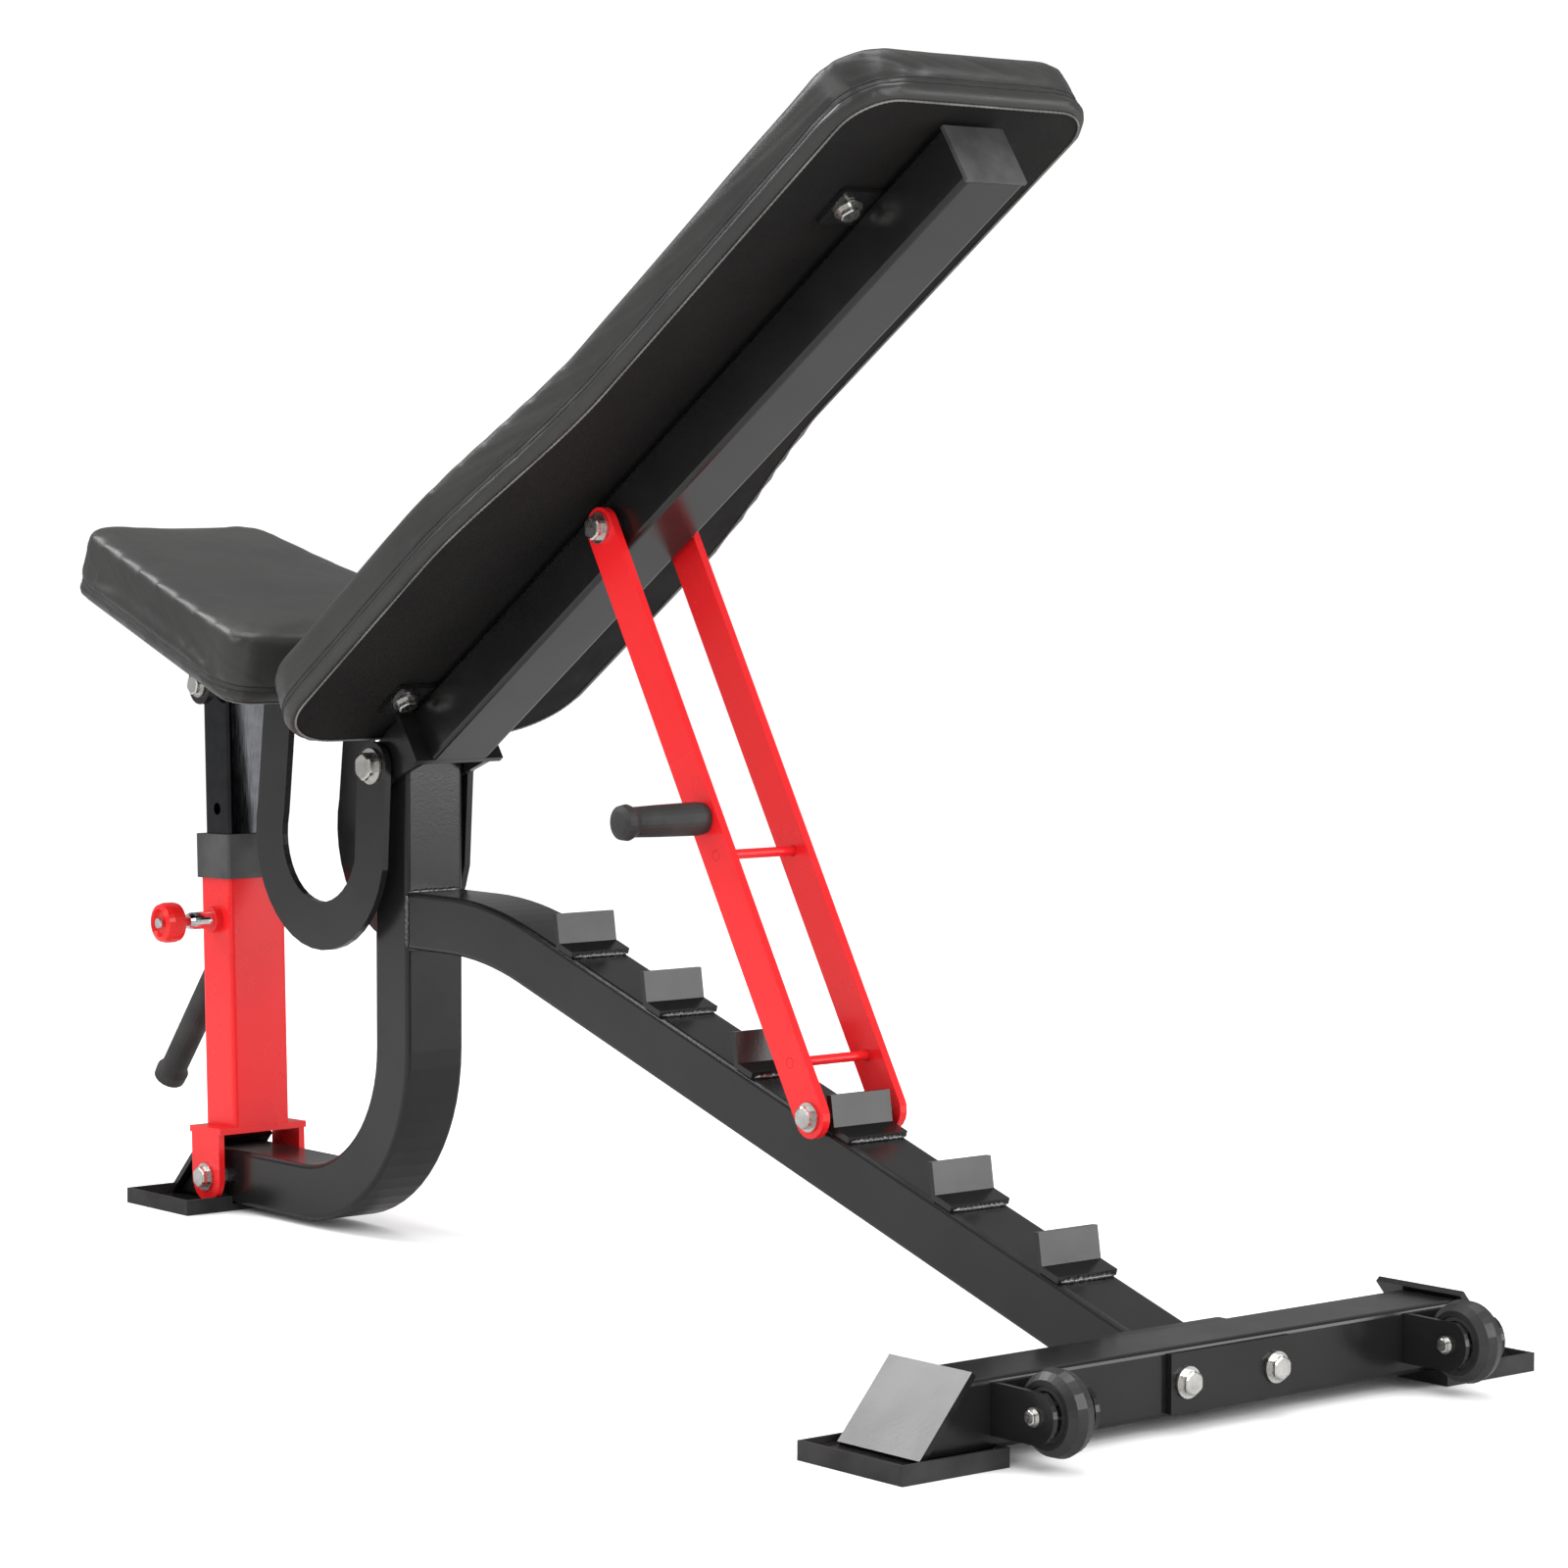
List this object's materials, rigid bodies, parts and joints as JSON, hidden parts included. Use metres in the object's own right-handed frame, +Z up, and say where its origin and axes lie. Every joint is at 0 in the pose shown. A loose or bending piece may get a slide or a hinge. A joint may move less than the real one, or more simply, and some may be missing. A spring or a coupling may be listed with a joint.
{
  "type": "adjustable weight bench",
  "caption": "Adjustable weight bench with a tilting backrest on a red hooked strut, a tilting seat on a telescopic post, a curved upright and a sloping ladder beam on a wheeled crossbar.",
  "frame": {"origin": "on the floor under the middle of the bench's length and width", "axes": "+X along the bench from the seat end to the head end, +Z up, +Y across the bench; the strut grip and pull pin are on the -Y side"},
  "size_m": [1.4943, 0.634, 0.9927],
  "materials": {
    "black_powder_coat": "satin black powder coat on steel",
    "black_gloss_tube": "gloss black steel tube",
    "red_powder_coat": "satin-gloss red powder coat on steel",
    "red_knob": "red moulded knob on a steel pin",
    "zinc_plate": "bright zinc-plated steel fasteners",
    "chrome": "bright plated pin housing",
    "black_rubber": "matte black rubber",
    "wheel_polyurethane": "black polyurethane tyre",
    "grey_black_plastic": "dark grey moulded plastic",
    "pad_backing": "plywood board under black cloth backing",
    "black_vinyl": "charcoal black vinyl over foam"
  },
  "bodies": {
    "main_frame": {"upright_tube": "black_powder_coat", "upright_cap": "grey_black_plastic", "ladder_beam": "black_powder_coat", "ladder_hook_1": "black_powder_coat", "ladder_hook_2": "black_powder_coat", "ladder_hook_3": "black_powder_coat", "ladder_hook_4": "black_powder_coat", "ladder_hook_5": "black_powder_coat", "ladder_hook_6": "black_powder_coat", "rear_crossbar": "black_powder_coat", "beam_flange": "black_powder_coat", "rear_clamp_plate": "black_powder_coat", "clamp_bolt_left": "zinc_plate", "clamp_bolt_right": "zinc_plate", "rear_foot_left_bracket": "black_powder_coat", "rear_foot_left_pad": "black_rubber", "rear_foot_right_bracket": "black_powder_coat", "rear_foot_right_pad": "black_rubber", "front_foot_bracket": "black_powder_coat", "front_foot_pad": "black_rubber", "wheel_fork_left": "black_powder_coat", "wheel_fork_right": "black_powder_coat", "wheel_axle_left": "zinc_plate", "wheel_axle_right": "zinc_plate"},
    "backrest_pivot": {"main_pivot_bolt": "zinc_plate"},
    "backrest": {"backrest_tube": "black_powder_coat", "backrest_tube_cap": "grey_black_plastic", "backrest_yoke": "black_powder_coat", "pad_bracket_low": "black_powder_coat", "pad_bracket_high": "black_powder_coat", "pad_bolt_low_left": "zinc_plate", "pad_bolt_low_right": "zinc_plate", "pad_bolt_high_left": "zinc_plate", "pad_bolt_high_right": "zinc_plate", "backrest_board": "pad_backing", "backrest_cushion": "black_vinyl"},
    "strut_pivot": {"strut_top_bolt": "zinc_plate"},
    "strut": {"strut_bar_left": "red_powder_coat", "strut_bar_right": "red_powder_coat", "strut_rod_upper": "red_powder_coat", "strut_rod_lower": "red_powder_coat", "strut_pin": "zinc_plate", "strut_grip": "black_rubber"},
    "seat": {"seat_frame": "black_powder_coat", "seat_post_bolt": "zinc_plate", "seat_link_left": "black_powder_coat", "seat_link_right": "black_powder_coat", "seat_board": "pad_backing", "seat_cushion": "black_vinyl"},
    "outer_post": {"outer_post": "red_powder_coat", "post_base_bolt": "zinc_plate", "post_collar": "grey_black_plastic", "front_grip": "black_rubber", "pin_barrel": "chrome"},
    "inner_post": {"inner_post": "black_gloss_tube"},
    "pull_pin": {"pull_knob": "red_knob"},
    "wheel_left": {"wheel_tyre_left": "wheel_polyurethane", "wheel_hub_left": "grey_black_plastic"},
    "wheel_right": {"wheel_tyre_right": "wheel_polyurethane", "wheel_hub_right": "grey_black_plastic"}
  },
  "joints": [
    {"name": "backrest_raise", "type": "hinge", "parent": "main_frame", "child": "backrest_pivot", "pos_m": [-0.3262, 0, 0.423], "axis": [0, -1, 0], "range_deg": [0, 44.5]},
    {"name": "backrest_lower", "type": "hinge", "parent": "backrest_pivot", "child": "backrest", "pos_m": [-0.3262, 0, 0.423], "axis": [0, -1, 0], "range_deg": [-38.45, 0]},
    {"name": "strut_swing_up", "type": "hinge", "parent": "backrest", "child": "strut_pivot", "pos_m": [-0.00446, 0, 0.63197], "axis": [0, -1, 0], "range_deg": [-55.7, 0]},
    {"name": "strut_swing_down", "type": "hinge", "parent": "strut_pivot", "child": "strut", "pos_m": [-0.00446, 0, 0.63197], "axis": [0, -1, 0], "range_deg": [0, 77]},
    {"name": "seat_tilt", "type": "hinge", "parent": "main_frame", "child": "seat", "pos_m": [-0.3262, 0, 0.423], "axis": [0, 1, 0], "range_deg": [-19.9, 0]},
    {"name": "post_tilt", "type": "hinge", "parent": "main_frame", "child": "outer_post", "pos_m": [-0.5977, 0, 0.031], "axis": [0, 1, 0], "range_deg": [-1.55, 0]},
    {"name": "post_slide", "type": "slide", "parent": "outer_post", "child": "inner_post", "axis": [-0.0284, 0, 0.9996], "range_m": [-0.1005, 0]},
    {"name": "pull_pin_slide", "type": "slide", "parent": "outer_post", "child": "pull_pin", "axis": [0, -1, 0], "range_m": [0, 0.01], "stiffness_N_per_m": 800, "springref_m": -0.004},
    {"name": "wheel_left_spin", "type": "hinge", "parent": "main_frame", "child": "wheel_left", "pos_m": [0.7162, -0.205, 0.0402], "axis": [0, 1, 0], "continuous": true},
    {"name": "wheel_right_spin", "type": "hinge", "parent": "main_frame", "child": "wheel_right", "pos_m": [0.7162, 0.205, 0.0402], "axis": [0, 1, 0], "continuous": true}
  ],
  "couplings": [
    {"joint": "strut_swing_up", "follows": "backrest_raise", "ratio": -1.25},
    {"joint": "strut_swing_down", "follows": "backrest_lower", "ratio": -2},
    {"joint": "post_tilt", "follows": "seat_tilt", "ratio": 0.0765},
    {"joint": "post_slide", "follows": "seat_tilt", "m_per_rad": 0.288}
  ]
}
